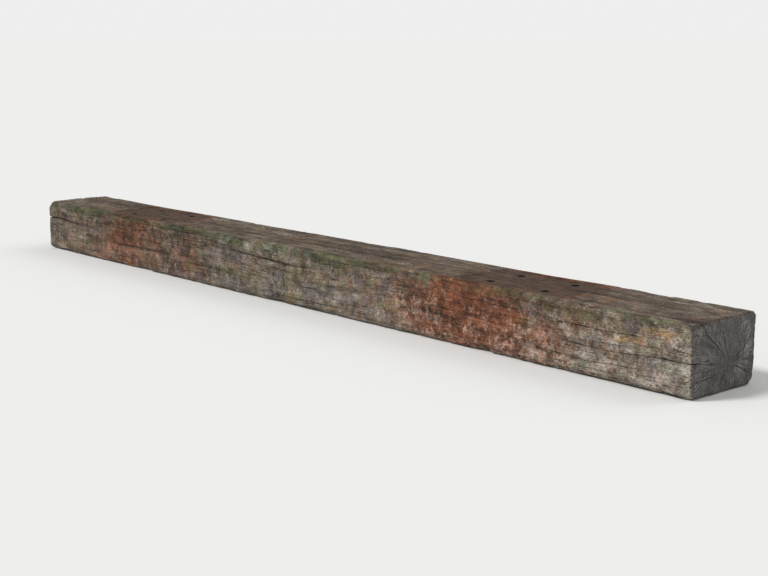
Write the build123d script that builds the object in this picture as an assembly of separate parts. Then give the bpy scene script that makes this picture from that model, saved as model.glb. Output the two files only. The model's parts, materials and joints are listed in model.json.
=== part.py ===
from build123d import *
from collections import namedtuple
import math
import os

# A used broad-gauge railway sleeper: one sawn hardwood timber, lying on its bed face.
# Millimetres. The origin is on the bed face, under the middle of the timber.
# +X runs along the timber to its near end, -Y is the front side and +Z is up.

# Sawn timber
LENGTH = 2800.0
WIDTH = 240.0
HEIGHT = 170.0

# Rounding that wear has left on the four long edges and on the sawn ends
TOP_FRONT_WEAR = 12.0
TOP_BACK_WEAR = 16.0
BED_FRONT_WEAR = 18.0
BED_BACK_WEAR = 14.0
END_WEAR = 4.0

# Track that lay on it
GAUGE = 1600.0
RAIL_HEAD = 66.0
RAIL_FOOT = 140.0

# Seats that the tie plates have pressed into the top
SEAT_TO_SIDE = 25.0
SEAT_BEYOND_HOLE = 90.0
SEAT_WEAR = 4.0
SEAT_CORNER = 14.0

# Holes that the screw spikes came out of, four in each seat
HOLE = 20.0
HOLE_FROM_FOOT = 20.0
HOLE_FROM_SEAT_SIDE = 40.0
WOOD_UNDER_HOLE = 36.0

# Splinters lost from the long edges: middle's distance from the near end, length along the
# edge, and depth into the worn edge
Chip = namedtuple("Chip", "at length depth")
TOP_FRONT_CHIPS = (
    Chip(at=1060.0, length=240.0, depth=5.0),
    Chip(at=1830.0, length=160.0, depth=4.0),
    Chip(at=2520.0, length=120.0, depth=6.0),
)
TOP_BACK_CHIPS = (
    Chip(at=300.0, length=180.0, depth=8.0),
    Chip(at=1370.0, length=260.0, depth=7.0),
    Chip(at=2390.0, length=150.0, depth=5.0),
)
BED_FRONT_CHIPS = (
    Chip(at=250.0, length=120.0, depth=5.0),
    Chip(at=396.0, length=70.0, depth=5.0),
    Chip(at=650.0, length=110.0, depth=9.0),
    Chip(at=985.0, length=90.0, depth=4.0),
    Chip(at=1490.0, length=150.0, depth=7.0),
    Chip(at=2230.0, length=210.0, depth=8.0),
)
BED_BACK_CHIPS = (
    Chip(at=700.0, length=140.0, depth=6.0),
    Chip(at=1900.0, length=220.0, depth=7.0),
)

# Corners knocked off the ends, by their radius
NEAR_TOP_BACK_KNOCK = 9.0
NEAR_BED_BACK_KNOCK = 13.0
FAR_TOP_FRONT_KNOCK = 15.0
FAR_BED_BACK_KNOCK = 10.0

# Drying cracks in the four sides: middle's distance from the near end, length, distance from
# the side's upper or front edge, opening, depth, and how far the grain bends it sideways
Crack = namedtuple("Crack", "at length offset opening depth bow")
FRONT_CRACKS = (
    Crack(at=315.0, length=140.0, offset=95.0, opening=2.2, depth=20.0, bow=0.0),
    Crack(at=390.0, length=110.0, offset=127.0, opening=2.0, depth=14.0, bow=0.0),
    Crack(at=1540.0, length=430.0, offset=46.0, opening=2.8, depth=26.0, bow=-3.0),
    Crack(at=2210.0, length=360.0, offset=99.0, opening=2.5, depth=22.0, bow=0.0),
)
BACK_CRACKS = (
    Crack(at=760.0, length=520.0, offset=66.0, opening=3.4, depth=30.0, bow=9.0),
    Crack(at=1980.0, length=610.0, offset=87.0, opening=3.0, depth=26.0, bow=0.0),
)
TOP_CRACKS = (
    Crack(at=1420.0, length=760.0, offset=93.0, opening=4.0, depth=34.0, bow=4.5),
    Crack(at=1240.0, length=420.0, offset=205.0, opening=2.6, depth=20.0, bow=0.0),
    Crack(at=2590.0, length=330.0, offset=149.0, opening=3.4, depth=30.0, bow=6.0),
)
BED_CRACKS = (
    Crack(at=1650.0, length=700.0, offset=166.0, opening=3.0, depth=26.0, bow=0.0),
)

# Splits that run in from the front corner of each end, lying flat in the grain: distance
# below the top, length along the front, reach across the end, and opening
Split = namedtuple("Split", "below along across opening")
NEAR_SPLIT = Split(below=90.0, along=140.0, across=70.0, opening=2.4)
FAR_SPLIT = Split(below=59.0, along=260.0, across=120.0, opening=3.2)

# Heart of the log on the sawn ends, from the middle line and above the bed, and the cracks
# that fan out from it: angle, gap to the heart, length, opening and depth
HEART_ACROSS = 24.0
HEART_UP = 58.0
Ray = namedtuple("Ray", "angle start length opening depth")
HEART_CRACKS = (
    Ray(angle=31.0, start=16.0, length=84.0, opening=2.2, depth=24.0),
    Ray(angle=110.0, start=14.0, length=88.0, opening=2.6, depth=30.0),
    Ray(angle=191.0, start=52.0, length=70.0, opening=2.0, depth=18.0),
    Ray(angle=240.0, start=12.0, length=48.0, opening=1.8, depth=18.0),
    Ray(angle=339.0, start=22.0, length=60.0, opening=2.0, depth=20.0),
)


def along(at):
    """X of a place that is given by its distance from the near end."""
    return LENGTH / 2 - at


def rail_centres():
    """X of the middle of each rail."""
    out = (GAUGE + RAIL_HEAD) / 2
    return (-out, out)


def seat_size():
    """Length and width of the mark of one tie plate."""
    length = RAIL_FOOT + 2 * (HOLE_FROM_FOOT + SEAT_BEYOND_HOLE)
    return length, WIDTH - 2 * SEAT_TO_SIDE


def hole_places():
    """X and Y of every spike hole."""
    from_rail = RAIL_FOOT / 2 + HOLE_FROM_FOOT
    across = seat_size()[1] / 2 - HOLE_FROM_SEAT_SIDE
    return [
        (rail + end * from_rail, side * across)
        for rail in rail_centres()
        for end in (-1, 1)
        for side in (-1, 1)
    ]


def worn_blank():
    """The sawn timber, with its long edges and its ends rounded by wear."""
    section = Rectangle(WIDTH, HEIGHT, align=(Align.CENTER, Align.MIN))
    corners = (
        (-WIDTH / 2, HEIGHT, TOP_FRONT_WEAR),
        (WIDTH / 2, HEIGHT, TOP_BACK_WEAR),
        (-WIDTH / 2, 0, BED_FRONT_WEAR),
        (WIDTH / 2, 0, BED_BACK_WEAR),
    )
    for across, up, radius in corners:
        corner = section.vertices().sort_by_distance((across, up, 0))[0]
        section = fillet(corner, radius)
    blank = extrude(Plane.YZ * section, amount=LENGTH / 2, both=True)
    end_faces = blank.faces().filter_by(Axis.X)
    return fillet(end_faces.edges(), END_WEAR)


def rail_seats():
    """The two shallow beds of the tie plates."""
    length, width = seat_size()
    mark = RectangleRounded(length, width, SEAT_CORNER)
    return [Pos(x, 0, HEIGHT) * extrude(mark, amount=-SEAT_WEAR) for x in rail_centres()]


def spike_holes():
    """Blind round holes, from the seats down into the timber."""
    depth = HEIGHT - WOOD_UNDER_HOLE
    align = (Align.CENTER, Align.CENTER, Align.MAX)
    hole = Cylinder(HOLE / 2, depth, align=align)
    return [Pos(x, y, HEIGHT) * hole for x, y in hole_places()]


def edge_chips(chips, side, end_of_z, wear):
    """Scoops out of one long edge, each by a ball whose chord is the chip's length."""
    rounded_off = wear * (math.sqrt(2) - 1)
    edge_up = HEIGHT if end_of_z > 0 else 0
    scoops = []
    for chip in chips:
        radius = chip.length**2 / (8 * chip.depth) + chip.depth / 2
        out = (radius - chip.depth - rounded_off) / math.sqrt(2)
        centre = Pos(along(chip.at), side * (WIDTH / 2 + out), edge_up + end_of_z * out)
        scoops.append(centre * Sphere(radius))
    return scoops


def corner_knocks():
    """A ball on each corner that has been knocked off."""
    near, far = LENGTH / 2, -LENGTH / 2
    front, back = -WIDTH / 2, WIDTH / 2
    return [
        Pos(near, back, HEIGHT) * Sphere(NEAR_TOP_BACK_KNOCK),
        Pos(near, back, 0) * Sphere(NEAR_BED_BACK_KNOCK),
        Pos(far, front, HEIGHT) * Sphere(FAR_TOP_FRONT_KNOCK),
        Pos(far, back, 0) * Sphere(FAR_BED_BACK_KNOCK),
    ]


def slit(length, opening, depth, bow):
    """A lens with pointed ends along X, bent sideways by bow and cut down from the XY plane."""
    left, right = (-length / 2, 0), (length / 2, 0)
    one_wall = ThreePointArc(left, (0, bow + opening / 2), right)
    other_wall = ThreePointArc(left, (0, bow - opening / 2), right)
    return extrude(make_face([one_wall, other_wall]), amount=-depth)


def front_face(crack):
    """The front side at a crack, looking at it."""
    return Plane((along(crack.at), -WIDTH / 2, HEIGHT - crack.offset), (1, 0, 0), (0, -1, 0))


def back_face(crack):
    """The back side at a crack, looking at it."""
    return Plane((along(crack.at), WIDTH / 2, HEIGHT - crack.offset), (1, 0, 0), (0, 1, 0))


def top_face(crack):
    """The top at a crack, looking down on it."""
    return Plane((along(crack.at), crack.offset - WIDTH / 2, HEIGHT), (1, 0, 0), (0, 0, 1))


def bed_face(crack):
    """The bed face at a crack, looking up at it."""
    return Plane((along(crack.at), crack.offset - WIDTH / 2, 0), (1, 0, 0), (0, 0, -1))


def side_cracks(cracks, face):
    """The drying cracks of one side."""
    return [
        face(crack) * slit(crack.length, crack.opening, crack.depth, crack.bow)
        for crack in cracks
    ]


def heart_cracks(end):
    """The cracks that fan out from the heart on one sawn end."""
    heart = Plane((end * LENGTH / 2, HEART_ACROSS, HEART_UP), (0, 1, 0), (end, 0, 0))
    return [
        heart
        * Rot(0, 0, end * ray.angle)
        * Pos(ray.start + ray.length / 2, 0, 0)
        * slit(ray.length, ray.opening, ray.depth, 0)
        for ray in HEART_CRACKS
    ]


def corner_split(split, end):
    """A thin flat wedge at the front corner of one end, narrowing into the timber."""
    front = -WIDTH / 2
    corner = (end * LENGTH / 2, front)
    inward = (end * (LENGTH / 2 - split.along), front)
    across = (end * LENGTH / 2, front + split.across)
    outline = make_face(Polyline(corner, inward, across, close=True))
    return Pos(0, 0, HEIGHT - split.below) * extrude(outline, amount=split.opening / 2, both=True)


def sleeper():
    """The whole timber."""
    timber = worn_blank() - rail_seats() - spike_holes() - corner_knocks()
    timber -= edge_chips(TOP_FRONT_CHIPS, -1, 1, TOP_FRONT_WEAR)
    timber -= edge_chips(TOP_BACK_CHIPS, 1, 1, TOP_BACK_WEAR)
    timber -= edge_chips(BED_FRONT_CHIPS, -1, -1, BED_FRONT_WEAR)
    timber -= edge_chips(BED_BACK_CHIPS, 1, -1, BED_BACK_WEAR)
    timber -= side_cracks(FRONT_CRACKS, front_face)
    timber -= side_cracks(BACK_CRACKS, back_face)
    timber -= side_cracks(TOP_CRACKS, top_face)
    timber -= side_cracks(BED_CRACKS, bed_face)
    timber -= heart_cracks(1) + heart_cracks(-1)
    timber -= [corner_split(NEAR_SPLIT, 1), corner_split(FAR_SPLIT, -1)]
    return timber


os.makedirs("parts", exist_ok=True)
export_step(sleeper(), "parts/sleeper.step")
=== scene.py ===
from collections import namedtuple
import json
import math

import bpy
import numpy as np
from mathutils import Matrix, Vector


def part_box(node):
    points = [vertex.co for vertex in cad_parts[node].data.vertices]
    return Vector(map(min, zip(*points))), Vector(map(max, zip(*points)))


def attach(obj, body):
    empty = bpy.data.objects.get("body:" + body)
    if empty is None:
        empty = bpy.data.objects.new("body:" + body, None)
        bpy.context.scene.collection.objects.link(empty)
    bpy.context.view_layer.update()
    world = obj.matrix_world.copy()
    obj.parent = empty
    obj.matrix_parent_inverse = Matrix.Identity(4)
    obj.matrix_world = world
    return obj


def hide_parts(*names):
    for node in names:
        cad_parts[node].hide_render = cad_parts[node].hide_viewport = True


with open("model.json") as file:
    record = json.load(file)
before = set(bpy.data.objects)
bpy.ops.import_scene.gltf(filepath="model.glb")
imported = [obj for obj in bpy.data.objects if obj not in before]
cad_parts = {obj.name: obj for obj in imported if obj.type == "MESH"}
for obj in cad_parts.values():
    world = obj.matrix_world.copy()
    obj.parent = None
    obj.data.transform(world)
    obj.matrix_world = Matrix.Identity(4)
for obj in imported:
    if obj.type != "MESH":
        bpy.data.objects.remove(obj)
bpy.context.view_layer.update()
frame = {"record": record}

# One old broad-gauge railway sleeper: a sawn hardwood timber, weathered and rust-stained.
# Metres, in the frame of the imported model: +X is the near end, -Y the front and +Z the top.
# A place along the timber is its distance from the near end. Below 0 it lies on the near end
# face and above LENGTH on the far one, as far in from that face's edge.

# Timber, rail seats and spike holes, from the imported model
LOW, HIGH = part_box("sleeper")
LENGTH, WIDTH, HEIGHT = HIGH - LOW
FRONT, BACK = LOW.y, HIGH.y
AROUND = 2 * (WIDTH + HEIGHT)
MOUNTS = {mount["name"]: mount for mount in frame["record"]["mounts"]}
SEAT_MIDDLES = [MOUNTS[name]["pos_m"][0] for name in ("near_rail_seat", "far_rail_seat")]
SEAT_DEPTH = HEIGHT - MOUNTS["near_rail_seat"]["pos_m"][2]
HOLES = MOUNTS["near_spike_holes"]["dims"]
HOLE_RADIUS = HOLES["hole_r_mm"] / 1000
HOLE_ALONG = HOLES["spacing_x_mm"] / 2000
HOLE_ACROSS = HOLES["spacing_y_mm"] / 2000

# What the mounts don't say: a seat's length, width and soft rim, and a hole's bottom above the bed
SEAT_LENGTH, SEAT_WIDTH, SEAT_RIM = 0.360, 0.190, 0.005
HOLE_BOTTOM = 0.036
HOLE_DEPTH = HEIGHT - SEAT_DEPTH - HOLE_BOTTOM

# Worn edges, in loop order: bed front, top front, top back, bed back
EDGE_WEAR = (0.018, 0.012, 0.016, 0.014)
END_WEAR = 0.005

# Heart of the log on the end faces
HEART_Y, HEART_Z = 0.024, 0.058

# Fineness of the skin: steps along the timber, rings and lines of its rounded parts, and the
# angle in degrees above which an edge is sharp
COARSE_STEP = 0.0088
END_STEP = 0.0025
SEAT_EDGE_STEP = 0.003
HOLE_STEP = 0.0036
STEP_GROWTH = 0.30
STEP_SAMPLES = 40001
HOLE_RINGS = 5
EDGE_ARC_LINES = 5
END_ARC_RINGS = 3
CAP_RINGS = 20
SHARP_ANGLE = 42

# The four sides in loop order: the corner where a side starts, the direction it runs in and its
# outward one, as (y, z), its width, the step between its plain lines, and how rough it is
Side = namedtuple("Side", "corner run outward span step rough")
SIDES = {
    "front": Side((FRONT, 0), (0, 1), (-1, 0), HEIGHT, 0.0046, 0.6),
    "top": Side((FRONT, HEIGHT), (1, 0), (0, 1), WIDTH, 0.0056, 1.0),
    "back": Side((BACK, HEIGHT), (0, -1), (1, 0), HEIGHT, 0.0056, 1.2),
    "bed": Side((BACK, 0), (-1, 0), (0, -1), WIDTH, 0.0090, 0.8),
}

# Drying cracks by side and lane. A lane is a line of grain, by its distance from the side's
# upper or front edge, and each crack on it has its middle's place along the timber, length,
# opening and depth.
LANES = {
    "front": {
        0.022: ((1.12, 0.3, 0.0012, 0.006), (2.05, 0.38, 0.0014, 0.008)),
        0.046: ((0.62, 0.16, 0.0011, 0.006), (1.54, 0.43, 0.0028, 0.026)),
        0.066: ((2.73, 0.38, 0.0034, 0.032), (1.95, 0.2, 0.0012, 0.008)),
        0.087: (
            (0.035, 0.21, 0.0022, 0.026), (0.21, 0.1, 0.0011, 0.006),
            (0.315, 0.14, 0.0022, 0.02), (1.2, 0.26, 0.0013, 0.01),
        ),
        0.102: ((2.21, 0.36, 0.0025, 0.022), (0.78, 0.2, 0.001, 0.006)),
        0.12: ((0.39, 0.11, 0.002, 0.014), (1.75, 0.35, 0.0016, 0.012)),
        0.142: (
            (-0.06, 0.07, 0.002, 0.018), (1.35, 0.26, 0.0013, 0.01),
            (2.5, 0.2, 0.0015, 0.01), (2.86, 0.07, 0.002, 0.018),
        ),
    },
    "top": {
        0.036: ((0.02, 0.4, 0.0024, 0.02), (1.75, 0.3, 0.0015, 0.012)),
        0.1: (
            (-0.06, 0.09, 0.0026, 0.03), (1.42, 0.76, 0.004, 0.034),
            (2.86, 0.1, 0.003, 0.03),
        ),
        0.128: ((0.35, 0.36, 0.0024, 0.018), (1.95, 0.42, 0.0022, 0.016)),
        0.148: ((2.59, 0.33, 0.0034, 0.03),),
        0.204: ((0.22, 0.2, 0.0016, 0.01), (1.24, 0.42, 0.0026, 0.02)),
    },
    "back": {
        0.03: ((1.3, 0.4, 0.0018, 0.012), (0.3, 0.26, 0.0015, 0.01)),
        0.054: ((-0.05, 0.09, 0.0022, 0.024), (2.66, 0.42, 0.0026, 0.022)),
        0.074: ((0.76, 0.52, 0.0034, 0.03),),
        0.096: ((1.98, 0.61, 0.003, 0.026), (0.18, 0.22, 0.0014, 0.01)),
        0.124: ((1.2, 0.36, 0.002, 0.014), (2.55, 0.3, 0.0018, 0.014)),
        0.148: (
            (-0.05, 0.06, 0.002, 0.02), (0.5, 0.3, 0.0016, 0.01),
            (2.85, 0.06, 0.002, 0.02),
        ),
    },
    "bed": {
        0.06: ((0.6, 0.4, 0.0022, 0.016), (2.3, 0.35, 0.002, 0.016)),
        0.11: (
            (-0.03, 0.05, 0.0018, 0.018), (1.1, 0.3, 0.0018, 0.012),
            (2.83, 0.05, 0.0018, 0.018),
        ),
        0.166: ((1.65, 0.7, 0.003, 0.026),),
    },
}

# Splinters lost from the long edges, in the order of EDGE_WEAR: the middle's place along the
# timber, length and depth. Each starts at once and runs out slowly.
CHIPS = (
    (
        (0.25, 0.12, 0.005), (0.396, 0.07, 0.005), (0.65, 0.11, 0.009),
        (0.985, 0.09, 0.004), (1.49, 0.15, 0.007), (2.23, 0.21, 0.008),
    ),
    ((1.06, 0.24, 0.005), (1.83, 0.16, 0.004), (2.52, 0.12, 0.006)),
    ((0.3, 0.18, 0.008), (1.37, 0.26, 0.007), (2.39, 0.15, 0.005)),
    ((0.7, 0.14, 0.006), (1.9, 0.22, 0.007)),
)
CHIP_START = 0.10
CHIP_RUN_OUT = 0.75
CHIP_CURVE = 0.6

# Corners knocked off the ends: end, side and height as signs, and depth along the diagonal
KNOCKS = ((1, 1, 1, 0.0117), (1, 1, -1, 0.0169), (-1, -1, 1, 0.0195), (-1, 1, -1, 0.013))

# Random wavers: rows of a size, and the cells of its random field along and across
EDGE_WAVERS = ((0.0028, 0.23, 1),)
WIDTH_WAVERS = ((0.28, 0.022, 1), (0.20, 0.008, 1))
CRACK_WAVERS = ((0.0007, 0.035, 1),)
HAIR_WAVERS = ((1.0, 0.12, 1), (0.6, 0.04, 1))
GRAIN_WAVERS = ((0.013, 0.52, 0.12), (0.0058, 0.19, 0.08), (0.0015, 0.07, 0.05))
RAY_WAVERS = ((0.0065, 0.05, 0.05), (0.002, 0.018, 0.018))
RIM_WAVERS = ((0.0012, 0.02, 0.02),)
KNOCK_WAVERS = ((0.001, 0.01, 0.01),)
DENT_WAVERS = ((1.0, 0.028, 0.028), (0.5, 0.013, 0.013))
SAW_WAVERS = ((0.0009, 0.035, 0.035), (0.0005, 0.009, 0.012))
RUST_WAVERS = ((0.034, 0.10, 0.13), (0.016, 0.035, 0.06))

# The grain runs straight along a rail seat and wavers fully beyond CALM_TO from it. The change
# of a long edge fades over EDGE_FADE from it.
CALM_FROM, CALM_TO = 0.01, 0.14
EDGE_FADE = 0.05

# Closed lanes, hairlines between the cracks, and sunken lips: LIP_DEPTH deep where their crack
# is LIP_CRACK deep, and LIP_MOST times that at most
CLOSED_CRACK = 0.0006
CLOSED_RAY = 0.004
RAY_ROOM = 0.75
RAY_FADE = 0.03
HAIR_OPENING = 0.0014
HAIR_DEPTH = 0.005
HAIR_FROM_END = 0.03
LIP_WIDTH = 0.0065
LIP_DEPTH = 0.0016
LIP_CRACK = 0.016
LIP_MOST = 1.2

# Random fields drawn out along the grain: cell along the timber, cells round it, and seed
WAVES = (0.33, 9, 101)
FLUTES = (0.21, 37, 102)
RIDGES = (0.075, 96, 103)
FURROW_LINES = (0.24, 54, 108)
FURROW_GROUPS = (0.16, 20, 109)
END_ROUNDING = {1: (1, 60, 162), -1: (1, 60, 160)}
SPLINTERS = (0.05, 150, 195)

# Torn patches and flakes: the random field of the patches, that of their rims and its share,
# and the two values of their sum between which they begin
TORN = ((0.12, 46, 104), (0.03, 90, 105), 0.45, 0.58, 0.66)
FLAKED = ((0.045, 120, 106), (0.012, 160, 107), 0.40, 0.56, 0.68)

# What weather takes off the sides: the mean depth of waves, flutes and ridges, and the full one
# of furrows, torn patches, flakes and splinters. A tie plate kept SHELTER of it off its seat.
WEAR = ((0.0011, WAVES), (0.0007, FLUTES), (0.0004, RIDGES))
FURROW_DEPTH = 0.0016
FURROW_WIDTH = 0.22
FURROWED = (-0.1, 0.4)
TORN_DEPTH = 0.0019
FLAKE_DEPTH = 0.0008
SPLINTER_DEPTH = 0.0012
END_WEAR_CHANGE = 0.35
SHELTER = 0.6

# Nicks in the long edges: depth, cell, the field's value that they start at, and seed
NICKS = ((0.0062, 0.047, 0.15, 180), (0.0042, 0.017, 0.20, 190))
NICK_SLACK = 0.0006

# Dents in the bed: depth, reach up the sides, and the two values between which they begin; and
# the tilt of the saw cuts
DENT_DEPTH, DENT_REACH, DENTED = 0.0022, 0.05, (0.25, 0.9)
SAW_TILT = 0.0012

# How far in from an end the cracks turn towards its heart, and the saw's unevenness reaches
TURN_REACH, SAW_REACH = 0.05, 0.08

# Depths at which a crack is painted black as shade and a chipped place is bare, how strongly the
# furrows are darkened with dirt and painted shade, and the distances from an end plane between
# which side grain turns to end grain
SHADE_BLACK_DEPTH, BARE_DEPTH = 0.004, 0.002
FURROW_DIRT_AND_SHADE = 0.8
END_GRAIN = (0.003, -0.001)

# Rings of the skin's grid round a spike hole, from its middle outwards: radius, depth below the
# seat and how dark its painted shade is. The outermost ring stays at its height.
BORE_RINGS = (
    (0, HOLE_DEPTH, 1),
    (0.008, HOLE_DEPTH - 0.004, 1),
    (HOLE_RADIUS - 0.0002, 0.003, 1),
    (HOLE_RADIUS + 0.0008, 0.0003, 0.4),
    (HOLE_RADIUS + 0.0034, None, None),
)
BORE_RAGGED = 0.05

# Soft oval stains on the front: the middle's distance from the near end and share of the
# height, the size along and the size up in the same measures, and the strength
RUST_STAINS = (
    (0.69, 0.35, 0.2, 1.3, 0.8), (0.745, 0.66, 0.05, 0.42, 0.42),
    (0.525, 0.62, 0.05, 0.4, 0.36), (0.4, 0.3, 0.1, 0.45, 0.3),
    (0.93, 0.4, 0.05, 0.8, 0.12), (1.88, 0.5, 0.07, 0.8, 0.24),
    (2.233, 0.5, 0.24, 0.9, 0.38), (2.283, 0.55, 0.07, 0.6, 0.24),
)
TAN_STAINS = (
    (0.075, 0.79, 0.085, 0.095, 1.0), (0.18, 0.66, 0.055, 0.07, 1.0),
    (1.88, 0.25, 0.06, 0.15, 0.5),
)
LIME_STAINS = (
    (0.06, 0.38, 0.22, 0.48, 0.75), (0.12, 0.3, 0.07, 0.4, 0.15),
    (0.35, 0.28, 0.08, 0.35, 0.28), (0.48, 0.25, 0.1, 0.4, 0.3),
    (0.86, 0.42, 0.08, 0.6, 0.22), (1.58, 0.78, 0.16, 0.25, 0.35),
    (1.66, 0.25, 0.15, 0.3, -0.3),
)
BLEACHED_STAINS = ((0.08, 0.3, 0.28, 0.9, 0.9),)

# Pale stains on the near end face: the same, but with Y in place of the distance
END_STAINS = ((-0.08, 0.84, 0.032, 0.15, 0.9), (0.085, 0.62, 0.03, 0.32, 0.7))

# Reach of the rust round a rail seat, and of a side's stains round its edges
SEAT_RUST_REACH, STAIN_FADE = 0.20, 0.03


def lattice(i, j, seed):
    """A number from -1 to 1 for each lattice point, by mixing the bits of its indices."""
    n = (i * 374761393 + j * 668265263 + seed * 974634777) & 0xFFFFFFFF
    n = ((n ^ (n >> 13)) * 1274126177) & 0xFFFFFFFF
    return ((n ^ (n >> 16)) & 0xFFFF) / 32767.5 - 1.0


def field(u, v, seed, wrap=None):
    """Smooth random field from -1 to 1 whose cells are 1 wide: the four lattice numbers round
    a point, weighted by smoothstep. With wrap, it repeats after that many cells in v."""
    i, j = np.floor(u).astype(np.int64), np.floor(v).astype(np.int64)
    fu, fv = u - i, v - j
    fu, fv = fu * fu * (3 - 2 * fu), fv * fv * (3 - 2 * fv)
    j0, j1 = (j % wrap, (j + 1) % wrap) if wrap else (j, j + 1)
    low = lattice(i, j0, seed) * (1 - fu) + lattice(i + 1, j0, seed) * fu
    high = lattice(i, j1, seed) * (1 - fu) + lattice(i + 1, j1, seed) * fu
    return low * (1 - fv) + high * fv


def waver(wavers, seed, u, v=0.0):
    """Sum of random fields, one for each waver: its size times a field with its cells."""
    rows = enumerate(wavers)
    return sum(size * field(u / along, v / across, seed + n) for n, (size, along, across) in rows)


def grain_field(skin, grain):
    """Random field that is drawn out along the timber and closes round its section."""
    cell, cells, seed = grain
    return field(skin.x / cell, skin.around / AROUND * cells, seed, wrap=cells)


def step(low, high, value):
    """Smoothstep from 0 at low to 1 at high."""
    t = np.clip((value - low) / (high - low), 0, 1)
    return t * t * (3 - 2 * t)


def lens(value, at, length):
    """1 at the middle of a stretch and 0 beyond its ends: a parabola to the power 0.7."""
    t = (value - at) / (length / 2)
    return np.clip(1 - t * t, 0, 1) ** 0.7


def ring_places():
    """X of the rings of the skin between its rounded ends. The step at a place is the least of
    the fine steps near the ends, seat edges and holes, each growing with distance, and the
    rings stand at whole numbers of the integral of 1 over the step."""
    x = np.linspace(LOW.x + END_WEAR, HIGH.x - END_WEAR, STEP_SAMPLES)
    size = np.full_like(x, COARSE_STEP)
    fine = [(x[0], 0, END_STEP), (x[-1], 0, END_STEP)]
    for middle in SEAT_MIDDLES:
        for way in (-1, 1):
            fine.append((middle + way * SEAT_LENGTH / 2, SEAT_RIM, SEAT_EDGE_STEP))
            fine.append((middle + way * HOLE_ALONG, HOLE_RINGS * HOLE_STEP, HOLE_STEP))
    for place, flat, least in fine:
        away = np.maximum(abs(x - place) - flat, 0)
        size = np.minimum(size, least + STEP_GROWTH * away)
    count = np.concatenate(([0], np.cumsum(np.diff(x) / size[1:])))
    return np.interp(np.linspace(0, count[-1], round(count[-1]) + 1), count, x)


def clusters(name):
    """Groups of lines with a set place on a side: (places, lane, shares of half an opening).
    Places are distances from the corner where the side starts."""
    found = []
    for lane in LANES[name]:
        middle = SIDES[name].span - lane if name in ("front", "bed") else lane
        found.append(([middle - CLOSED_CRACK, middle, middle + CLOSED_CRACK], lane, [-1, 0, 1]))
    if name == "top":
        rows = range(-HOLE_RINGS, HOLE_RINGS + 1)
        for way in (-1, 1):
            hole = WIDTH / 2 + way * HOLE_ACROSS
            found.append(([hole + row * HOLE_STEP for row in rows], 0, [0] * len(rows)))
            rim = WIDTH / 2 + way * SEAT_WIDTH / 2
            found.append(([rim - SEAT_RIM / 2, rim, rim + SEAT_RIM / 2], 0, [0, 0, 0]))
    return sorted(found)


def side_lines(number, name):
    """Places, lanes and shares of all lines of a side: its clusters, and even lines between."""
    side = SIDES[name]
    places, lanes, shares = [EDGE_WEAR[number]], [0], [0]
    end = [side.span - EDGE_WEAR[(number + 1) % 4]]
    for group, lane, share in clusters(name) + [(end, 0, [0])]:
        gap = group[0] - places[-1]
        between = max(round(gap / side.step), 1)
        plain = np.linspace(places[-1], group[0], between + 1)[1:-1]
        places += [*plain, *group]
        lanes += [0] * len(plain) + [lane] * len(group)
        shares += [0] * len(plain) + share
    return np.array(places), np.array(lanes), np.array(shares)


def edge_change(number, x):
    """Slow random change of one long edge's rounding along the timber."""
    return waver(EDGE_WAVERS, 30 + number % 4, x)


def flow(x, place, span, seed, calm):
    """How far the grain leads a line sideways: random fields of the place along and across,
    faded out by a parabola towards the side's edges, and where calm is 1."""
    inside = 4 * place * (span - place) / span**2
    return waver(GRAIN_WAVERS, seed, x, place) * inside * (1 - calm)


def seat_calm(x):
    """1 along each rail seat and a little beyond it, 0 elsewhere."""
    away = np.min([abs(x - middle) for middle in SEAT_MIDDLES], axis=0) - SEAT_LENGTH / 2
    return 1 - step(CALM_FROM, CALM_TO, away)


def crack_sizes(name, lane, at):
    """Half opening and depth of a lane's cracks at places along it: hairlines where a random
    field is high, and each named crack a lens with a ragged width."""
    half, depth = np.full_like(at, CLOSED_CRACK), np.zeros_like(at)
    seed = round(lane * 1000)
    ragged = 1 + waver(WIDTH_WAVERS, seed, at)
    hair = step(0.2, 0.9, waver(HAIR_WAVERS, seed + 2, at))
    hair = hair * step(0, HAIR_FROM_END, at) * step(LENGTH, LENGTH - HAIR_FROM_END, at)
    hair = hair * SIDES[name].rough
    half = half + HAIR_OPENING / 2 * hair
    depth = depth + HAIR_DEPTH * hair
    for place, length, opening, deepest in LANES[name][lane]:
        shape = lens(at, place, length)
        half = np.maximum(half, opening / 2 * shape * ragged)
        depth = np.maximum(depth, deepest * shape)
    return half, depth


# The skin as arrays of rings by lines: place, outward direction, depth of the crack there, how
# far its lips have sunk, how rough the side is, the place in the unbent grain, the distance
# round the section and the place along the timber
Skin = namedtuple("Skin", "x y z out_y out_z depth sunk rough grain_y grain_z around at")


def joined(parts, axis):
    """One skin from several: their rings one after the other on axis 0, their lines on 1."""
    return Skin(*(np.concatenate(values, axis=axis) for values in zip(*parts)))


def last_ring(skin, way):
    """The ring at the near end, where way is 1, or at the far end, where it is -1."""
    return Skin(*(values[-1 if way > 0 else 0][None, :] for values in skin))


def repeated(ring, like):
    """A ring's values for every row of another array."""
    return Skin(*(values + 0 * like for values in ring))


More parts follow.
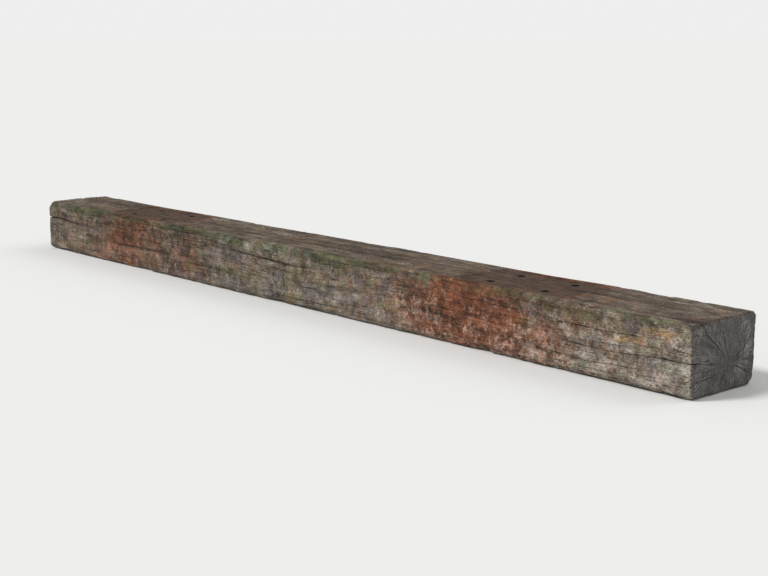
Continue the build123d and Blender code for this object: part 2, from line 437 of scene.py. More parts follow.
def side_skin(number, name, x, start):
    """One side: each line runs along the timber at its place across, led by the grain. Near an
    edge it follows the change of that edge's radius. A lane's outer lines part by half its
    opening each, and its lips sink in a bell of the distance from it."""
    side = SIDES[name]
    places, lanes, shares = side_lines(number, name)
    place = np.broadcast_to(places, (len(x), len(places)))
    along = x[:, None]
    calm = seat_calm(along) if name == "top" else 0 * along
    across = place + flow(along, place, side.span, 50 + 10 * number, calm)
    across = across + edge_change(number, along) * step(EDGE_FADE, 0, place - places[0])
    across = across - edge_change(number + 1, along) * step(EDGE_FADE, 0, places[-1] - place)
    at = HIGH.x - along
    depth, sunk = np.zeros_like(across), np.zeros_like(across)
    for lane in LANES[name]:
        own = np.flatnonzero(lanes == lane)
        half, deep = crack_sizes(name, lane, at)
        lips = np.exp(-(((place - places[own[1]]) / LIP_WIDTH) ** 2))
        sunk = np.maximum(sunk, LIP_DEPTH * lips * np.clip(deep / LIP_CRACK, 0, LIP_MOST))
        middle = across[:, own[1]][:, None]
        jitter = waver(CRACK_WAVERS, round(lane * 3000), at)
        across[:, own] = middle + jitter + half * shares[own]
        depth[:, own[1]] = deep[:, 0]
    flat = np.ones_like(across)
    corner, run, outward = side.corner, side.run, side.outward
    return Skin(
        x=along * flat, y=corner[0] + run[0] * across, z=corner[1] + run[1] * across,
        out_y=outward[0] * flat, out_z=outward[1] * flat,
        depth=depth, sunk=sunk, rough=side.rough * flat,
        grain_y=corner[0] + run[0] * place, grain_z=corner[1] + run[1] * place,
        around=start + place, at=at * flat,
    )


def edge_skin(number, x, start):
    """One rounded long edge: a quarter circle from the side before it to the side after it."""
    sides = list(SIDES.values())
    before, after = sides[number - 1], sides[number]
    turn = np.linspace(0, math.pi / 2, EDGE_ARC_LINES + 2)[1:-1]
    out_y = before.outward[0] * np.cos(turn) + after.outward[0] * np.sin(turn)
    out_z = before.outward[1] * np.cos(turn) + after.outward[1] * np.sin(turn)
    centre_y = after.run[0] - before.run[0]
    centre_z = after.run[1] - before.run[1]

    def place(radius):
        y = after.corner[0] + radius * (centre_y + out_y)
        return y, after.corner[1] + radius * (centre_z + out_z)

    along = x[:, None]
    flat = np.ones((len(x), len(turn)))
    y, z = place(EDGE_WEAR[number] + edge_change(number, along))
    grain_y, grain_z = place(EDGE_WEAR[number])
    return Skin(
        x=along * flat, y=y, z=z, out_y=out_y * flat, out_z=out_z * flat,
        depth=0 * flat, sunk=0 * flat, rough=(before.rough + after.rough) / 2 * flat,
        grain_y=grain_y * flat, grain_z=grain_z * flat,
        around=(start + (turn / (math.pi / 2) * 2 - 1) * EDGE_WEAR[number]) * flat,
        at=(HIGH.x - along) * flat,
    )


def long_skin(x):
    """The four sides and four long edges, one after the other round the section."""
    parts, start = [], 0.0
    for number, name in enumerate(SIDES):
        parts += [edge_skin(number, x, start), side_skin(number, name, x, start)]
        start += SIDES[name].span
    return joined(parts, 1)


def rounded_ends(skin):
    """Adds the rings that round the skin over its ends: quarter circles that draw it in."""
    added = {}
    for way in (1, -1):
        last = last_ring(skin, way)
        turn = np.linspace(0, math.pi / 2, END_ARC_RINGS + 1)[1:][::way, None]
        worn = END_WEAR * (1 + END_WEAR_CHANGE * grain_field(last, END_ROUNDING[way]))
        draw_in = worn * (1 - np.cos(turn))
        beyond = last.x + way * END_WEAR * np.sin(turn)
        added[way] = repeated(last, draw_in)._replace(
            x=beyond, y=last.y - last.out_y * draw_in, z=last.z - last.out_z * draw_in,
            at=HIGH.x - beyond,
        )
    return joined([added[-1], skin, added[1]], 0)


def end_face(skin, way):
    """One flat end face: rings that shrink from the skin's last ring to the heart, on rays."""
    last = last_ring(skin, way)
    share = np.linspace(1, 0, CAP_RINGS + 2)[1:-1][::way, None]
    inward = (1 - share) * np.hypot(last.y - HEART_Y, last.z - HEART_Z)
    return repeated(last, inward)._replace(
        y=HEART_Y + share * (last.y - HEART_Y),
        z=HEART_Z + share * (last.z - HEART_Z),
        out_y=0 * inward, out_z=0 * inward, depth=0 * inward, sunk=0 * inward,
        grain_y=HEART_Y + share * (last.grain_y - HEART_Y),
        grain_z=HEART_Z + share * (last.grain_z - HEART_Z),
        at=(-inward if way > 0 else LENGTH + inward),
    )


def line_lanes():
    """Side name and lane of every line round the section."""
    names, lanes = [], []
    for number, name in enumerate(SIDES):
        lane = side_lines(number, name)[1]
        names += [""] * EDGE_ARC_LINES + [name] * len(lane)
        lanes += [0] * EDGE_ARC_LINES + list(lane)
    return np.array(names), np.array(lanes)


def bend_rays(cap, seed):
    """Leads the rays of an end face astray: random fields shift y and others z, not at the
    face's edge."""
    inner = step(0, RAY_FADE, np.minimum(abs(cap.at), abs(LENGTH - cap.at)))
    shift_y = waver(RAY_WAVERS, seed, cap.y, cap.z)
    shift_z = waver(RAY_WAVERS, seed + len(RAY_WAVERS), cap.y, cap.z)
    return cap._replace(y=cap.y + shift_y * inner, z=cap.z + shift_z * inner)


def open_end_cracks(cap):
    """Opens the cracks of an end face: the three lines of a lane part across their ray, by less
    than the way to the next line on either side."""
    names, lanes = line_lanes()
    y, z, depth = cap.y.copy(), cap.z.copy(), cap.depth.copy()
    for name in SIDES:
        for lane in LANES[name]:
            own = np.flatnonzero((names == name) & (lanes == lane))
            middle_y, middle_z = cap.y[:, own[1]], cap.z[:, own[1]]
            half, deep = crack_sizes(name, lane, cap.at[:, own[1]])
            ray_y, ray_z = middle_y - HEART_Y, middle_z - HEART_Z
            reach = np.hypot(ray_y, ray_z)
            half = np.where(deep > 0, half, CLOSED_RAY * reach)
            for beside in (own[0] - 1, own[2] + 1):
                room = np.hypot(cap.y[:, beside] - middle_y, cap.z[:, beside] - middle_z)
                half = np.minimum(half, RAY_ROOM * room)
            for line, way in zip(own, (-1, 0, 1)):
                y[:, line] = middle_y + way * half * ray_z / reach
                z[:, line] = middle_z - way * half * ray_y / reach
            depth[:, own[1]] = deep
    return cap._replace(y=y, z=z, depth=depth)


def loose(skin, patches, rims, share, low, high):
    """1 where wood has come loose: where the fields of patches and rims add up to enough."""
    return step(low, high, grain_field(skin, patches) + share * grain_field(skin, rims))


def erosion(skin):
    """How far weather has eaten into the sides: waves, flutes and ridges along the grain, furrows
    where a random field crosses zero, in groups, and torn patches and flakes. Returns the depth,
    the torn share and the furrows."""
    depth = sum(mean * (1 + grain_field(skin, grain)) for mean, grain in WEAR)
    furrows = np.clip(1 - abs(grain_field(skin, FURROW_LINES)) / FURROW_WIDTH, 0, 1) ** 2
    furrows = furrows * step(*FURROWED, grain_field(skin, FURROW_GROUPS))
    torn, flaked = loose(skin, *TORN), loose(skin, *FLAKED)
    depth = depth + FURROW_DEPTH * furrows + TORN_DEPTH * torn + FLAKE_DEPTH * flaked
    return depth * skin.rough, np.maximum(torn, 0.6 * flaked), furrows


def seat_marks(skin):
    """Depth pressed into the top by the tie plates: a flat-bottomed box with a soft rim, where
    the distance beyond the box's nearest side, made ragged, passes zero."""
    depth = np.zeros_like(skin.x)
    ragged = waver(RIM_WAVERS, 140, skin.x, skin.y)
    for middle in SEAT_MIDDLES:
        beyond = np.maximum(abs(skin.x - middle) - SEAT_LENGTH / 2, abs(skin.y) - SEAT_WIDTH / 2)
        inside = step(SEAT_RIM / 2, -SEAT_RIM / 2, beyond + ragged)
        depth = np.maximum(depth, SEAT_DEPTH * inside)
    return depth * (skin.out_z > 0.5)


def ballast_dents(skin):
    """Shallow round dents in the bed, where a coarse and a fine random field add up to enough."""
    dents = step(*DENTED, waver(DENT_WAVERS, 151, skin.x, skin.y))
    return DENT_DEPTH * dents * step(DENT_REACH, 0, skin.z)


def sawn_unevenness(y, z, way):
    """How far an end face lies behind its sawn plane: a tilt of the cut, and random waves."""
    behind = SAW_TILT * (1 + way * y / WIDTH * 2)
    for (size, along, across), seed in zip(SAW_WAVERS, (171, 173)):
        behind = behind + size * (1 + field(y / along, z / across, seed + way))
    return behind


def edge_bite(number, skin, at):
    """How deep one long edge is bitten, along its corner's diagonal: the deepest of its chips
    and nicks, with splinters."""
    usual = EDGE_WEAR[number] * (math.sqrt(2) - 1)
    bite = np.zeros_like(at)
    for place, length, depth in CHIPS[number]:
        share = (at - place) / length + 0.5
        run_out = np.clip((1 - share) / CHIP_RUN_OUT, 0, 1) ** CHIP_CURVE
        bite = np.maximum(bite, (usual + depth) * (step(0, CHIP_START, share) * run_out))
    nicked = usual
    for depth, cell, above, seed in NICKS:
        nicked = nicked + depth * np.maximum(field(at / cell, 0.0, seed + number) - above, 0)
    bite = np.maximum(bite, nicked - NICK_SLACK)
    return bite + SPLINTER_DEPTH * grain_field(skin, SPLINTERS)


def chip_edges(x, y, z, skin):
    """Cuts splinters and corners off: a point nearer than the bite to a sharp corner, measured
    along the corner's diagonal, moves in to the bite's plane. Returns how far each moved."""
    moved = np.zeros_like(x)
    worn = skin._replace(x=x)
    at = HIGH.x - x
    for number, side in enumerate(SIDES.values()):
        corner_y, corner_z = side.corner
        out_y = math.copysign(math.sqrt(0.5), corner_y)
        out_z = math.copysign(math.sqrt(0.5), corner_z - HEIGHT / 2)
        bite = edge_bite(number, worn, at)
        short = np.maximum(bite - (corner_y - y) * out_y - (corner_z - z) * out_z, 0)
        y, z, moved = y - out_y * short, z - out_z * short, np.maximum(moved, short)
    for end, across, up, depth in KNOCKS:
        out = np.array([end, across, up]) / math.sqrt(3)
        corner = (end * LENGTH / 2, across * WIDTH / 2, HEIGHT if up > 0 else 0)
        inside = (corner[0] - x) * out[0] + (corner[1] - y) * out[1] + (corner[2] - z) * out[2]
        short = np.maximum(depth + waver(KNOCK_WAVERS, 199, y, z) - inside, 0)
        x, y, z = x - out[0] * short, y - out[1] * short, z - out[2] * short
        moved = np.maximum(moved, short)
    return x, y, z, moved


def bore_hole(x, y, z, dark, hole_x, hole_y):
    """Turns a square block of the skin's grid into a round bore: its square rings become ragged
    circles, and the inner ones go down the wall and are painted dark as the hole's shade. A point
    that lies a share of the way from a ring's side to its corner goes to that share of an eighth
    turn."""
    top_line = np.argmax(z[len(x) // 2])
    i0 = np.argmin(abs(x[:, top_line] - hole_x))
    j0 = np.argmin(np.where(z[i0] > HEIGHT / 2, abs(y[i0] - hole_y), 9))
    i, j = np.mgrid[-HOLE_RINGS:HOLE_RINGS + 1, -HOLE_RINGS:HOLE_RINGS + 1]
    steeper = abs(i) >= abs(j)
    longer = np.where(steeper, i, j)
    turn = np.where(steeper, j, i) / np.maximum(abs(longer), 1) * math.pi / 4
    cos, sin = np.sign(longer) * np.cos(turn), np.sin(turn)
    dir_x, dir_y = np.where(steeper, cos, sin), np.where(steeper, sin, cos)
    ragged = 1 + BORE_RAGGED * field(np.arctan2(dir_y, dir_x) * 1.6 + 9, 0.0, i0)
    for number, (radius, drop, shade) in enumerate(BORE_RINGS):
        pick = np.maximum(abs(i), abs(j)) == number
        rows, lines = i0 + i[pick], j0 + j[pick]
        x[rows, lines] = hole_x + radius * (ragged * dir_x)[pick]
        y[rows, lines] = hole_y + radius * (ragged * dir_y)[pick]
        if drop is not None:
            z[rows, lines] = z[rows, lines].max() - drop
            dark[rows, lines] = shade


def timber():
    """The whole skin: sides and edges, rounded over into the end faces, then eroded, cracked,
    chipped and bored. A crack's middle line goes in by its depth, against the outward direction
    and, near an end, along the timber and to the heart. Returns the points, their places in the
    grain, the masks that the finish reads, and the rings."""
    side = rounded_ends(long_skin(ring_places()))
    near = open_end_cracks(bend_rays(end_face(side, 1), 210))
    far = open_end_cracks(bend_rays(end_face(side, -1), 220))
    rings = joined([far, side, near], 0)

    depth, torn, furrows = erosion(rings)
    # Furrows darkened with dirt and painted shade
    furrows = FURROW_DIRT_AND_SHADE * furrows
    pressed = seat_marks(rings)
    on_side = (rings.out_y != 0) | (rings.out_z != 0)
    worn = depth * (1 - SHELTER * (pressed > 0)) + pressed + rings.sunk + ballast_dents(rings)
    worn = np.where(on_side, worn, 0)
    y = rings.y - rings.out_y * worn
    z = rings.z - rings.out_z * worn

    edge = np.minimum(abs(rings.at), abs(LENGTH - rings.at))
    way = np.where(rings.at < LENGTH / 2, 1, -1)
    turned = step(TURN_REACH, 0, edge)
    to_heart = np.hypot(HEART_Y - y, HEART_Z - z) + 1e-9
    in_x = np.where(on_side, -way * turned, -way)
    in_y = np.where(on_side, -rings.out_y, (HEART_Y - y) / to_heart * turned)
    in_z = np.where(on_side, -rings.out_z, (HEART_Z - z) / to_heart * turned)
    near_end = step(SAW_REACH, 0, np.where(on_side, edge, 0))
    x = rings.x - way * sawn_unevenness(y, z, way) * near_end + in_x * rings.depth
    y = y + in_y * rings.depth
    z = z + in_z * rings.depth

    x, y, z, chipped = chip_edges(x, y, z, rings)
    # Painted shade: cracks go darker with depth, black from SHADE_BLACK_DEPTH on, and spike holes
    # are dark inside
    dark = rings.depth / SHADE_BLACK_DEPTH
    for middle in SEAT_MIDDLES:
        for along in (-HOLE_ALONG, HOLE_ALONG):
            for across in (-HOLE_ACROSS, HOLE_ACROSS):
                bore_hole(x, y, z, dark, middle + along, across)
    masks = {
        "crack": dark,
        # Dirt and painted shade in sunken lips and furrows
        "dirt_and_shade": np.maximum(rings.sunk / LIP_DEPTH, furrows) * on_side * rings.rough,
        "torn": torn * on_side + chipped / BARE_DEPTH,
        "end_grain": step(*END_GRAIN, np.minimum(rings.at, LENGTH - rings.at)),
        "seat": pressed / SEAT_DEPTH,
    }
    grain = np.stack([rings.x, rings.grain_y, rings.grain_z], axis=-1)
    return np.stack([x, y, z], axis=-1), grain, masks, rings


def stained(along, up, stains):
    """Sum of stains: each a bell of the distance from its middle, in sizes of its own."""
    total = 0
    for place, height, long, high, strength in stains:
        away = ((along - place) / long) ** 2 + ((up - height) / high) ** 2
        total = total + strength * np.exp(-away)
    return total


def stain_masks(rings):
    """Where crust, rust, tan wood, lime, moss and bleaching lie on the skin.
    On the front they are sums of stains and of steps along and up, and random fields make the
    rust's rims ragged. The other sides have even masks, rust near the seats, and moss on top."""
    at, y, z = rings.at, rings.grain_y, rings.grain_z
    front = step(STAIN_FADE, 0, y - FRONT)
    back = step(STAIN_FADE, 0, BACK - y)
    bed = step(STAIN_FADE, 0, z)
    on_end = step(0.004, -0.002, at)
    upper = z / HEIGHT
    rust = stained(at + waver(RUST_WAVERS, 202, at, upper), upper, RUST_STAINS)
    seats = [np.exp(-(((rings.x - middle) / SEAT_RUST_REACH) ** 2)) for middle in SEAT_MIDDLES]
    elsewhere = sum(seats) * (0.35 + 0.2 * (rings.out_z > 0.5) - 0.3 * bed)
    low = 0.40 + 0.25 * step(0.75, 0.35, upper) - 0.30 * step(0.85, 1.15, at)
    lime = (low + stained(at, upper, LIME_STAINS)) * front + 0.3 * back + 0.4 * bed
    bleach = stained(at, upper, BLEACHED_STAINS)
    bleach = bleach + step(0.95, 1.25, at) - 0.5 * step(1.72, 1.90, at)
    green = 0.75 + 0.5 * field(at / 0.14, 0.0, 201) + 0.5 * step(0.9, 1.3, at)
    return {
        "rust": rust * front + elsewhere * (1 - front),
        "tan": stained(at, upper, TAN_STAINS) * front,
        "lime": lime * (1 - on_end) + stained(y, upper, END_STAINS) * on_end,
        "moss": step(0.72, 0.97, upper) * green * (0.1 + 0.7 * front + 0.5 * back),
        "crust": 0.3 + 0.7 * front + 0.25 * back + 0.5 * bed,
        "bleach": np.clip(bleach * front + 0.45 * (1 - front), 0, 1) * (1 - on_end),
    }


def ring_quads(count, around):
    """Quads between neighbouring rings of a grid, closed round each ring."""
    ring, line = np.meshgrid(np.arange(count - 1), np.arange(around), indexing="ij")
    here, there = ring * around + line, ring * around + (line + 1) % around
    return np.stack([here, here + around, there + around, there], axis=-1).reshape(-1, 4)


def timber_mesh():
    """The closed mesh: quads between rings, and a fan at each heart. Its points carry their
    places in the grain, and the masks, cut to 0 and 1."""
    points, grain, masks, rings = timber()
    count, around = points.shape[:2]
    hearts = points[[0, -1]].mean(axis=1)
    vertices = np.concatenate([points.reshape(-1, 3), hearts])
    line = np.arange(around)
    beyond = (line + 1) % around
    last = (count - 1) * around
    far_fan = np.stack([line, beyond, np.full(around, count * around)], axis=-1)
    near_fan = np.stack([last + beyond, last + line, np.full(around, count * around + 1)], axis=-1)
    faces = ring_quads(count, around).tolist() + far_fan.tolist() + near_fan.tolist()
    mesh = bpy.data.meshes.new("weathered_timber")
    mesh.from_pydata(vertices, [], faces)
    hearts_grain = [[LOW.x, HEART_Y, HEART_Z], [HIGH.x, HEART_Y, HEART_Z]]
    store = mesh.attributes.new("grain", "FLOAT_VECTOR", "POINT")
    store.data.foreach_set("vector", np.concatenate([grain.reshape(-1, 3), hearts_grain]).ravel())
    for name, mask in {**masks, **stain_masks(rings)}.items():
        mask = np.clip(mask, 0, 1)
        ends = [mask[0].mean(), mask[-1].mean()]
        store = mesh.attributes.new(name, "FLOAT", "POINT")
        store.data.foreach_set("value", np.concatenate([mask.ravel(), ends]))
    mesh.polygons.foreach_set("use_smooth", np.ones(len(mesh.polygons), bool))
    mesh.set_sharp_from_angle(angle=math.radians(SHARP_ANGLE))
    return mesh


# Colours of the old wood, in linear light
WOOD_DARK = (0.05, 0.034, 0.022)
WOOD_BROWN = (0.14, 0.098, 0.07)
WOOD_GREY = (0.235, 0.19, 0.152)
WOOD_SILVER = (0.34, 0.3, 0.26)
CRUST_DARK = (0.03, 0.021, 0.013)
CRUST_BROWN = (0.135, 0.094, 0.064)
CRUST_GREY = (0.275, 0.217, 0.178)
CRUST_PALE = (0.46, 0.395, 0.345)
CRUST_OLIVE = (0.17, 0.152, 0.08)
CRUST_MAUVE = (0.195, 0.158, 0.165)
CRUST_WARM = (0.23, 0.145, 0.088)
TORN_WOOD = (0.205, 0.115, 0.062)
TAN_WOOD = (0.36, 0.2, 0.075)
RUST_RED = (0.205, 0.078, 0.04)
RUST_BROWN = (0.125, 0.064, 0.036)
RUST_DARK = (0.05, 0.024, 0.014)
SEAT_BLACK = (0.04, 0.028, 0.021)
SEAT_BROWN = (0.105, 0.064, 0.042)
SEAT_RUST = (0.19, 0.088, 0.048)
LIME = (0.47, 0.41, 0.35)
MOSS = (0.075, 0.085, 0.045)
# Dirt and painted shade, for sunken lips, furrows and drying checks
DIRT_AND_SHADE = (0.028, 0.021, 0.016)
# Painted shade in the cracks, spike holes and end checks
PAINTED_CRACK_SHADE = (0.008, 0.006, 0.005)
END_DARK = (0.094, 0.089, 0.084)
END_GREY = (0.214, 0.202, 0.188)
END_PALE = (0.43, 0.4, 0.36)

# Tints that a colour is multiplied by
RUST_TINT = (1.20, 0.69, 0.485)
BLEACH_TINT = (1.17, 1.30, 1.34)
MOSS_TINT = (0.60, 0.80, 0.58)
# Painted shade and painted light, multiplied over the side colour in blotches
PAINTED_SHADE = (0.70, 0.69, 0.68)
PAINTED_LIGHT = (1.27, 1.27, 1.27)
# Painted shade and painted light of the fine grit
GRIT_PAINTED_SHADE = (0.60, 0.585, 0.57)
GRIT_PAINTED_LIGHT = (1.38, 1.39, 1.40)


class Finish:
    """Builds the nodes of one material; each call adds a node and returns its output."""

    def __init__(self, name):
        self.material = bpy.data.materials.new(name)
        self.material.use_nodes = True
        self.tree = self.material.node_tree
        self.shader = self.tree.nodes["Principled BSDF"]

    def add(self, kind, output, inputs, **settings):
        node = self.tree.nodes.new("ShaderNode" + kind)
        for key, value in settings.items():
            setattr(node, key, value)
        for key, value in inputs.items():
            self.feed(node.inputs[key], value)
        return node.outputs[output]

    def feed(self, socket, value):
        """Links an output to an input, or gives the input a value of its own."""
        if isinstance(value, bpy.types.NodeSocket):
            self.tree.links.new(value, socket)
        else:
            socket.default_value = (*value, 1) if socket.type == "RGBA" else value

    def surface(self, name, value):
        """Feeds one input of the material's surface."""
        self.feed(self.shader.inputs[name], value)

    def mask(self, name, output="Fac"):
        """What each point of the mesh carries: a number, or a place where output is Vector."""
        return self.add("Attribute", output, {}, attribute_name=name)

    def stretched(self, vector, scale):
        return self.add("Mapping", "Vector", {"Vector": vector, "Scale": scale})

    def noise(self, cells, detail=4, rough=0.55, twist=0, vector=None):
        """Noise in the grain with so many cells per metre along X, Y and Z, or on a vector."""
        settings = {
            "Vector": vector or self.stretched(self.grain, cells), "Scale": 1,
            "Detail": detail, "Roughness": rough, "Distortion": twist,
        }
        return self.add("TexNoise", "Fac", settings)

    def math(self, operation, first, second=0.0):
        return self.add("Math", "Value", {0: first, 1: second}, operation=operation)

    def times(self, first, second):
        return self.math("MULTIPLY", first, second)

    def weighted(self, *terms):
        """Sum of outputs, each times its weight."""
        total = None
        for value, weight in terms:
            term = self.times(value, weight)
            total = term if total is None else self.math("ADD", total, term)
        return total

    def ramp(self, value, low, high):
        """0 below low, 1 above high, smooth between."""
        inputs = {"Value": value, "From Min": low, "From Max": high}
        return self.add("MapRange", "Result", inputs, interpolation_type="SMOOTHSTEP")

    def near_half(self, value, low, high):
        """1 along the line where a noise crosses its middle value, 0 beyond a small distance."""
        return self.ramp(self.math("ABSOLUTE", self.math("SUBTRACT", value, 0.5)), low, high)

    def blend(self, share, under, over, kind="MIX"):
        inputs = {0: share, 6: under, 7: over}
        return self.add("Mix", 2, inputs, data_type="RGBA", blend_type=kind)

    def tint(self, share, under, over):
        return self.blend(share, under, over, "MULTIPLY")

    def coat(self, under, over, tone, low, high, share=1):
        """A colour laid over another: none where a tone is below low, a share above high."""
        shown = self.ramp(tone, low, high)
        return self.blend(shown if share == 1 else self.times(shown, share), under, over)


def side_colour(f):
    """Weathered long grain: brown wood under grey fibres, in bands, blotches and fine lines, and
    drying checks, dark with dirt and painted shade, along the lines where a drawn-out noise
    crosses its middle, in groups."""
    band = f.noise((2.8, 62, 62), detail=5, rough=0.62, twist=0.5)
    fibre = f.noise((11, 330, 330), rough=0.7)
    speckle = f.noise((120, 165, 165), rough=0.75)
    blotch = f.noise((3.6, 10, 10), detail=5, rough=0.6)
    tone = f.weighted((blotch, 0.24), (band, 0.3), (fibre, 0.24), (speckle, 0.22))
    base = f.coat(WOOD_DARK, WOOD_BROWN, tone, 0.41, 0.5)
    base = f.coat(base, WOOD_GREY, tone, 0.485, 0.575)
    base = f.coat(base, WOOD_SILVER, tone, 0.56, 0.64)
    line = f.near_half(f.noise((4.2, 120, 120), detail=2, rough=0.5), 0.028, 0.004)
    line = f.times(line, f.ramp(f.noise((9, 40, 40), detail=2), 0.46, 0.6))
    # The checks darkened with dirt and painted shade
    return f.blend(f.times(line, 0.75), base, DIRT_AND_SHADE), fibre, band, speckle, line


def crust_colour(f, band, speckle):
    """Grainy weathered crust over the wood: dark pits, brown, grey and pale grains, and patches
    that are olive, mauve or warm."""
    mottle = f.noise((34, 42, 36), detail=6, rough=0.72)
    drift = f.noise((6, 12, 12), detail=3, twist=0.5)
    lime = f.mask("lime")
    tone = f.weighted((mottle, 0.46), (speckle, 0.26), (band, 0.14), (drift, 0.14), (lime, 0.07))
    shade = f.coat(CRUST_DARK, CRUST_BROWN, tone, 0.435, 0.51)
    shade = f.coat(shade, CRUST_GREY, tone, 0.49, 0.56)
    patch = f.noise((15, 26, 26), detail=5, rough=0.65)
    warmth = f.noise((11, 19, 19), detail=5, rough=0.7)
    lit = f.ramp(tone, 0.42, 0.52)
    for place, low, high, tinge in (
        (patch, 0.51, 0.59, CRUST_OLIVE), (patch, 0.49, 0.41, CRUST_MAUVE),
        (warmth, 0.53, 0.62, CRUST_WARM),
    ):
        share = f.times(f.ramp(place, low, high), lit)
        shade = f.blend(f.times(share, 0.72), shade, tinge)
    pale = f.weighted((tone, 1), (lime, 0.04))
    return f.coat(shade, CRUST_PALE, pale, 0.57, 0.66, 0.85), mottle


def stained_colour(f, base, band, speckle, mottle):
    """The stains over the long grain: torn wood, tan wood, bleaching, rust, lime flecks and moss,
    each where noises and its mask add up to enough. Rust is a tint with brown, red and dark pits
    in it. Blotches of painted light and painted shade go over them all."""
    cloud = f.noise((22, 30, 30), detail=5, rough=0.6)
    torn = f.times(f.mask("torn"), f.ramp(cloud, 0.35, 0.65))
    shade = f.blend(f.times(torn, 0.6), base, TORN_WOOD)
    tan = f.weighted((band, 0.34), (mottle, 0.34), (speckle, 0.32), (f.mask("tan"), 0.17))
    shade = f.coat(shade, TAN_WOOD, tan, 0.57, 0.68, 0.75)
    shade = f.tint(f.mask("bleach"), shade, BLEACH_TINT)

    broad = f.noise((9, 14, 11), detail=5, rough=0.65, twist=0.7)
    drips = f.noise((30, 26, 17), detail=6, rough=0.68, twist=0.8)
    rusty = f.weighted((broad, 0.3), (drips, 0.42), (speckle, 0.28), (f.mask("rust"), 0.3))
    rust = f.ramp(rusty, 0.49, 0.73)
    shade = f.tint(rust, shade, RUST_TINT)
    shade = f.blend(f.times(rust, 0.24), shade, RUST_BROWN)
    shade = f.coat(shade, RUST_RED, rusty, 0.62, 0.82, 0.5)
    pits = f.ramp(f.weighted((mottle, 0.36), (band, 0.34), (speckle, 0.3)), 0.515, 0.435)
    shade = f.blend(f.times(f.times(rust, pits), 0.55), shade, RUST_DARK)

    fleck = f.noise((76, 80, 62), rough=0.62, twist=0.4)
    flecks = f.weighted((fleck, 0.5), (mottle, 0.28), (speckle, 0.22), (f.mask("lime"), 0.12))
    shade = f.coat(shade, LIME, flecks, 0.58, 0.69, 0.7)
    shade = f.tint(f.times(rust, 0.34), shade, RUST_TINT)
    moss = f.weighted((cloud, 0.5), (speckle, 0.5), (f.mask("moss"), 0.16))
    moss = f.ramp(moss, 0.52, 0.68)
    shade = f.tint(moss, shade, MOSS_TINT)
    shade = f.blend(f.times(moss, 0.2), shade, MOSS)
    # Painted light and painted shade: the colour is made lighter and darker in blotches
    light_and_shade = f.noise((21, 30, 26), rough=0.6, twist=0.5)
    return f.tint(1.0, shade, f.coat(PAINTED_SHADE, PAINTED_LIGHT, light_and_shade, 0.36, 0.64))


def end_colour(f):
    """Weathered end grain: grey, with year rings as a sine of the distance from the heart, saw
    streaks, pale patches and fine checks that spread from the heart, drawn near-black as painted
    shade. The checks lie where a noise of the direction from it, which drifts on the way out,
    crosses its middle."""
    centred = f.add(
        "Mapping", "Vector",
        {"Vector": f.grain, "Location": (0, -HEART_Y, -HEART_Z), "Scale": (0, 1, 1)},
    )
    away = f.add("VectorMath", "Value", {0: centred}, operation="LENGTH")
    wobbly = f.weighted((away, 1), (f.noise((0, 14, 14), detail=3), 0.03))
    rings = f.math("SINE", f.times(wobbly, 1100))
    heading = f.add("VectorMath", "Vector", {0: centred}, operation="NORMALIZE")
    outward = f.add("CombineXYZ", "Vector", {"X": f.times(away, 11)})
    round_heart = f.stretched(heading, (0, 15, 15))
    spread = f.add(
        "VectorMath", "Vector", {0: round_heart, 1: outward}, operation="ADD"
    )
    checks = f.near_half(f.noise(None, detail=3, vector=spread), 0.035, 0.004)
    blotch = f.noise((0, 24, 19), detail=6, rough=0.68)
    streak = f.noise((0, 160, 45), rough=0.65)
    grit = f.noise((0, 210, 210), rough=0.7)
    checks = f.times(checks, f.ramp(blotch, 0.4, 0.56))
    tone = f.weighted((blotch, 0.45), (streak, 0.25), (grit, 0.3), (rings, 0.015))
    shade = f.coat(END_DARK, END_GREY, tone, 0.41, 0.57)
    pale = f.weighted((tone, 1), (f.mask("lime"), 0.1))
    shade = f.coat(shade, END_PALE, pale, 0.54, 0.64, 0.8)
    # Painted shade: the checks drawn near-black
    shade = f.blend(f.times(checks, 0.7), shade, PAINTED_CRACK_SHADE)
    return shade, f.weighted((rings, 0.05), (streak, 0.5), (grit, 0.8), (checks, -0.4))


def seat_colour(f, fibre, under):
    """Dark pressed wood in the rail seats, with a ragged rim."""
    streaks = f.noise((22, 60, 60), detail=6, rough=0.7)
    tone = f.weighted((streaks, 0.6), (fibre, 0.4))
    shade = f.coat(SEAT_BLACK, SEAT_BROWN, tone, 0.44, 0.53)
    shade = f.coat(shade, SEAT_RUST, tone, 0.53, 0.63)
    pressed = f.ramp(f.weighted((f.mask("seat"), 0.5), (streaks, 0.5)), 0.5, 0.68)
    return f.blend(f.times(pressed, 0.85), under, shade)


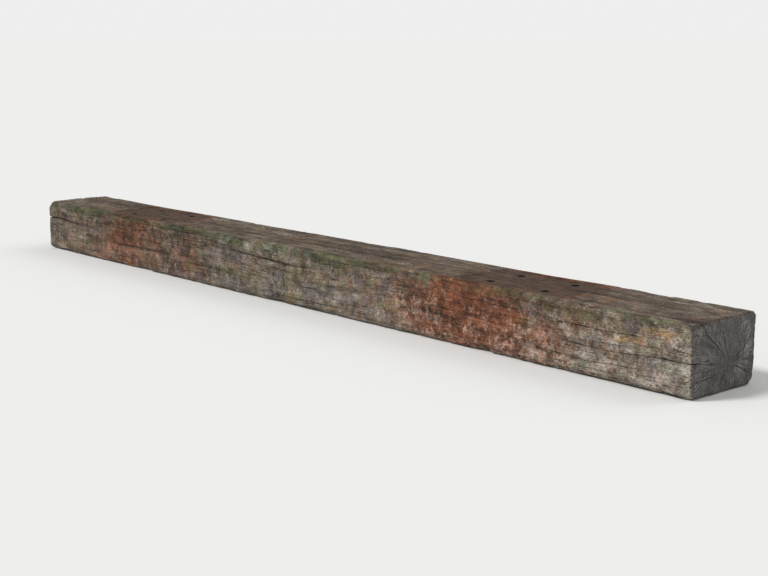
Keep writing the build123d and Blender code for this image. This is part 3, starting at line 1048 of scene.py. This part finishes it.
def old_wood():
    """The finish of the whole timber: crust and stains on its sides, end grain on its ends, the
    rail seats, fine grit as painted light and painted shade over them all, dirt and painted shade
    in the sunken lips and furrows, and painted shade as black in the cracks and holes. Its relief
    is bump from the same noises."""
    f = Finish("old_hardwood")
    f.grain = f.mask("grain", "Vector")
    base, fibre, band, speckle, line = side_colour(f)
    crust, mottle = crust_colour(f, band, speckle)
    crusted = f.times(f.mask("crust"), f.math("SUBTRACT", 1.0, line))
    base = f.blend(f.times(crusted, 0.75), base, crust)
    sides = stained_colour(f, base, band, speckle, mottle)
    ends, end_relief = end_colour(f)
    skin = f.blend(f.mask("end_grain"), sides, ends)
    skin = seat_colour(f, fibre, skin)
    grit = f.noise((150, 560, 560), detail=3, rough=0.6, twist=0.3)
    # Painted light and painted shade: the fine grit lightens and darkens the colour, as its bump
    # relief does
    skin = f.tint(1.0, skin, f.coat(GRIT_PAINTED_SHADE, GRIT_PAINTED_LIGHT, grit, 0.38, 0.6))
    # Dirt and painted shade in sunken lips and furrows
    skin = f.blend(f.times(f.mask("dirt_and_shade"), 0.72), skin, DIRT_AND_SHADE)
    # Painted shade: cracks and spike holes go black with depth
    skin = f.coat(skin, PAINTED_CRACK_SHADE, f.mask("crack"), 0.1, 0.8)
    f.surface("Base Color", skin)
    f.surface("Roughness", f.math("ADD", 0.72, f.times(speckle, 0.25)))
    f.surface("Specular IOR Level", 0.3)
    relief = f.weighted((fibre, 0.6), (speckle, 0.9), (mottle, 0.9), (band, 0.7), (line, -0.5))
    height = f.add(
        "Mix", 0, {0: f.mask("end_grain"), 2: relief, 3: end_relief}, data_type="FLOAT"
    )
    height = f.weighted((height, 1), (grit, 0.5))
    f.surface("Normal", f.add("Bump", "Normal", {"Height": height, "Distance": 0.005}))
    return f.material


def placed(name, data):
    """An object of the scene, made from its data."""
    item = bpy.data.objects.new(name, data)
    bpy.context.scene.collection.objects.link(item)
    return item


def make_timber():
    """The timber, which stands for the model's sleeper."""
    piece = placed("weathered_timber", timber_mesh())
    piece.data.materials.append(old_wood())
    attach(piece, "root")
    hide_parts("sleeper")


# Studio: a pale floor, an even sky that the camera sees as a pale background, and two suns, each
# by the direction it stands in, its strength and its width in degrees
FLOOR_MIDDLE, FLOOR_RADIUS = 0.5, 60.0
FLOOR_RINGS, FLOOR_LINES = 12, 96
FLOOR_PALE = (0.80, 0.80, 0.79)
BACKGROUND = 0.86
SKY_LIGHT = 0.50
SUNS = (("key", (-0.9, -1.6, 2.0), 2.0, 14), ("fill", (0.9, 1.7, 1.7), 0.5, 40))
CAMERA_PLACE = (3.143, -2.524, 0.795)
CAMERA_AIM = (0.28, 0.0, 0.075)
CAMERA_LENS = 66.0


def make_floor():
    """A plain round floor: rings of points whose distance from the middle grows evenly."""
    turn = np.linspace(0, 2 * math.pi, FLOOR_LINES + 1)[:-1]
    turn, reach = np.meshgrid(turn, np.linspace(FLOOR_MIDDLE, FLOOR_RADIUS, FLOOR_RINGS))
    points = np.stack([reach * np.cos(turn), reach * np.sin(turn), 0 * turn], axis=-1)
    faces = ring_quads(FLOOR_RINGS, FLOOR_LINES).tolist() + [list(range(FLOOR_LINES))]
    mesh = bpy.data.meshes.new("floor")
    mesh.from_pydata(points.reshape(-1, 3), [], faces)
    floor = placed("floor", mesh)
    finish = Finish("floor_pale")
    finish.surface("Base Color", FLOOR_PALE)
    finish.surface("Roughness", 1.0)
    finish.surface("Specular IOR Level", 0.0)
    mesh.materials.append(finish.material)


def make_world():
    """The world: white light at SKY_LIGHT for the timber, and the background for the camera."""
    world = bpy.data.worlds.new("studio")
    bpy.context.scene.world = world
    world.use_nodes = True
    nodes, links = world.node_tree.nodes, world.node_tree.links
    seen = nodes.new("ShaderNodeBackground")
    seen.inputs["Color"].default_value = (BACKGROUND, BACKGROUND, BACKGROUND, 1)
    lit = nodes["Background"]
    lit.inputs["Color"].default_value = (1, 1, 1, 1)
    lit.inputs["Strength"].default_value = SKY_LIGHT
    path = nodes.new("ShaderNodeLightPath")
    either = nodes.new("ShaderNodeMixShader")
    links.new(path.outputs["Is Camera Ray"], either.inputs[0])
    links.new(lit.outputs[0], either.inputs[1])
    links.new(seen.outputs[0], either.inputs[2])
    links.new(either.outputs[0], nodes["World Output"].inputs["Surface"])


def make_sun(name, towards, strength, width):
    """A sun that stands in a direction; its width makes its shadows soft."""
    light = bpy.data.lights.new(name, "SUN")
    light.angle = math.radians(width)
    light.energy = strength
    lamp = placed(name, light)
    lamp.rotation_euler = Vector(towards).to_track_quat("Z", "Y").to_euler()


def make_camera():
    """The camera, turned towards its aim."""
    camera = placed("camera", bpy.data.cameras.new("camera"))
    camera.location = CAMERA_PLACE
    aim = Vector(CAMERA_AIM) - Vector(CAMERA_PLACE)
    camera.rotation_euler = aim.to_track_quat("-Z", "Y").to_euler()
    camera.data.lens = CAMERA_LENS
    bpy.context.scene.camera = camera


make_timber()
make_floor()
make_world()
for sun in SUNS:
    make_sun(*sun)
make_camera()
bpy.context.scene.view_settings.view_transform = "Standard"
